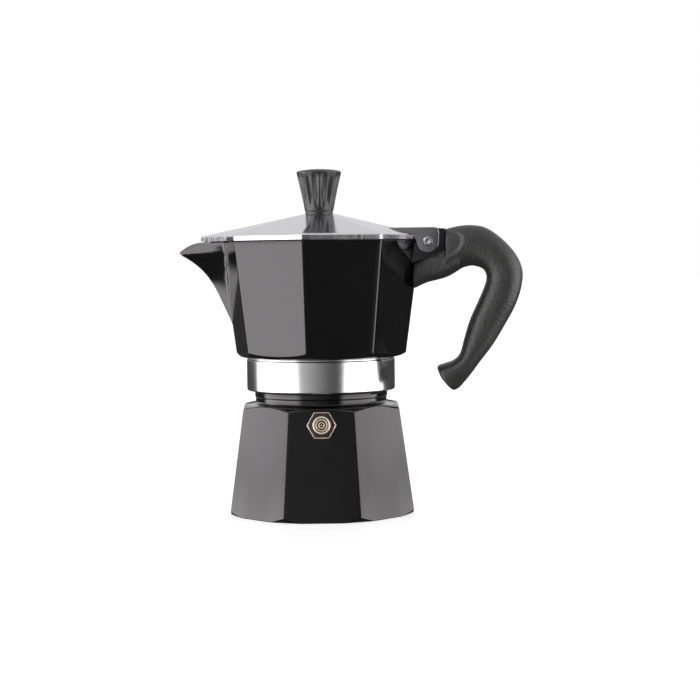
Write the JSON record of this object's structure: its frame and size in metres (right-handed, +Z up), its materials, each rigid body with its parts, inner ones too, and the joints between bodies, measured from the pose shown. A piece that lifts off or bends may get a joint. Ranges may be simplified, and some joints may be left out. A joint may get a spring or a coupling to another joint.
{
  "type": "stovetop moka pot",
  "caption": "Eight-sided stovetop moka pot with a screw-on collector, hinged lid, looped side handle, basket funnel and safety valve.",
  "frame": {"origin": "on the pot's axis, in the plane of the boiler's underside", "axes": "+Z up, +X towards the handle, -X towards the spout"},
  "size_m": [0.1616, 0.095, 0.1598],
  "materials": {
    "black_paint": "gloss",
    "bright_aluminium": "polished",
    "cast_aluminium": "satin",
    "black_plastic": "fine grain",
    "valve_brass": "bright",
    "steel": "bright",
    "white_rubber": "matte"
  },
  "bodies": {
    "boiler": {"boiler": "black_paint", "valve_body": "valve_brass", "valve_seal": "white_rubber", "valve_spring": "steel", "valve_retainer": "valve_brass"},
    "valve": {"valve_piston": "valve_brass"},
    "funnel": {"funnel": "cast_aluminium", "funnel_strainer": "cast_aluminium"},
    "seal": {"gasket": "white_rubber", "filter_plate": "cast_aluminium"},
    "collector": {"collector": "black_paint", "column": "cast_aluminium", "spout": "black_paint", "handle": "black_plastic", "handle_pin": "steel", "hinge_pin": "steel"},
    "lid": {"lid": "bright_aluminium", "knob": "black_plastic", "knob_screw": "steel", "knob_washer": "steel"}
  },
  "joints": [
    {"name": "collector_rise", "type": "slide", "parent": "boiler", "child": "seal", "axis": [0, 0, 1], "range_m": [0, 0.0801]},
    {"name": "collector_unscrew", "type": "hinge", "parent": "seal", "child": "collector", "pos_m": [0, 0, 0], "axis": [0, 0, 1], "range_deg": [0, 7200]},
    {"name": "funnel_lift", "type": "slide", "parent": "boiler", "child": "funnel", "axis": [0, 0, 1], "range_m": [0, 0.0641]},
    {"name": "lid_open", "type": "hinge", "parent": "collector", "child": "lid", "pos_m": [0.0514, 0, 0.1256], "axis": [0, 1, 0], "range_deg": [0, 92]},
    {"name": "valve_relief", "type": "slide", "parent": "boiler", "child": "valve", "axis": [0.1602, -0.9781, 0.1328], "range_m": [0, 0.0012], "stiffness_N_per_m": 2000, "springref_m": -0.0005, "deforming": ["valve_spring"]}
  ],
  "couplings": [
    {"joint": "collector_rise", "follows": "collector_unscrew", "m_per_rad": 0.00063662},
    {"joint": "funnel_lift", "follows": "collector_unscrew", "m_per_rad": 0.0005093}
  ]
}
